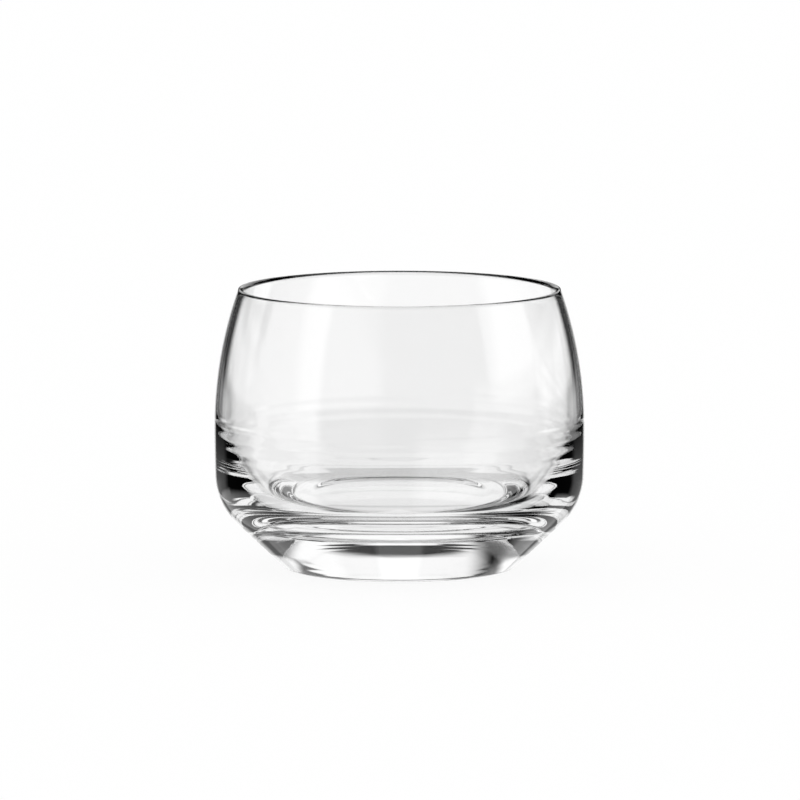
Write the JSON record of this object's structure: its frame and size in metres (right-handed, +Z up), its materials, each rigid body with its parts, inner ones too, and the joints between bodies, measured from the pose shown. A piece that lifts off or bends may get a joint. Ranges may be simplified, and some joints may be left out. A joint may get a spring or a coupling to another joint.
{
  "type": "short tumbler",
  "caption": "Short clear drinking glass: a round-bellied bowl that narrows to a rounded lip, on a thick conical base with a shallow hollow underneath. It holds a drink.",
  "frame": {"origin": "centre of the base, on the surface that the glass stands on", "axes": "+Z up along the axis that the glass is turned about; X and Y lie level and are alike"},
  "size_m": [0.092, 0.092, 0.07],
  "materials": {
    "clear_glass": "polished, clear and colourless"
  },
  "bodies": {
    "root": {"tumbler": "clear_glass"}
  },
  "joints": []
}
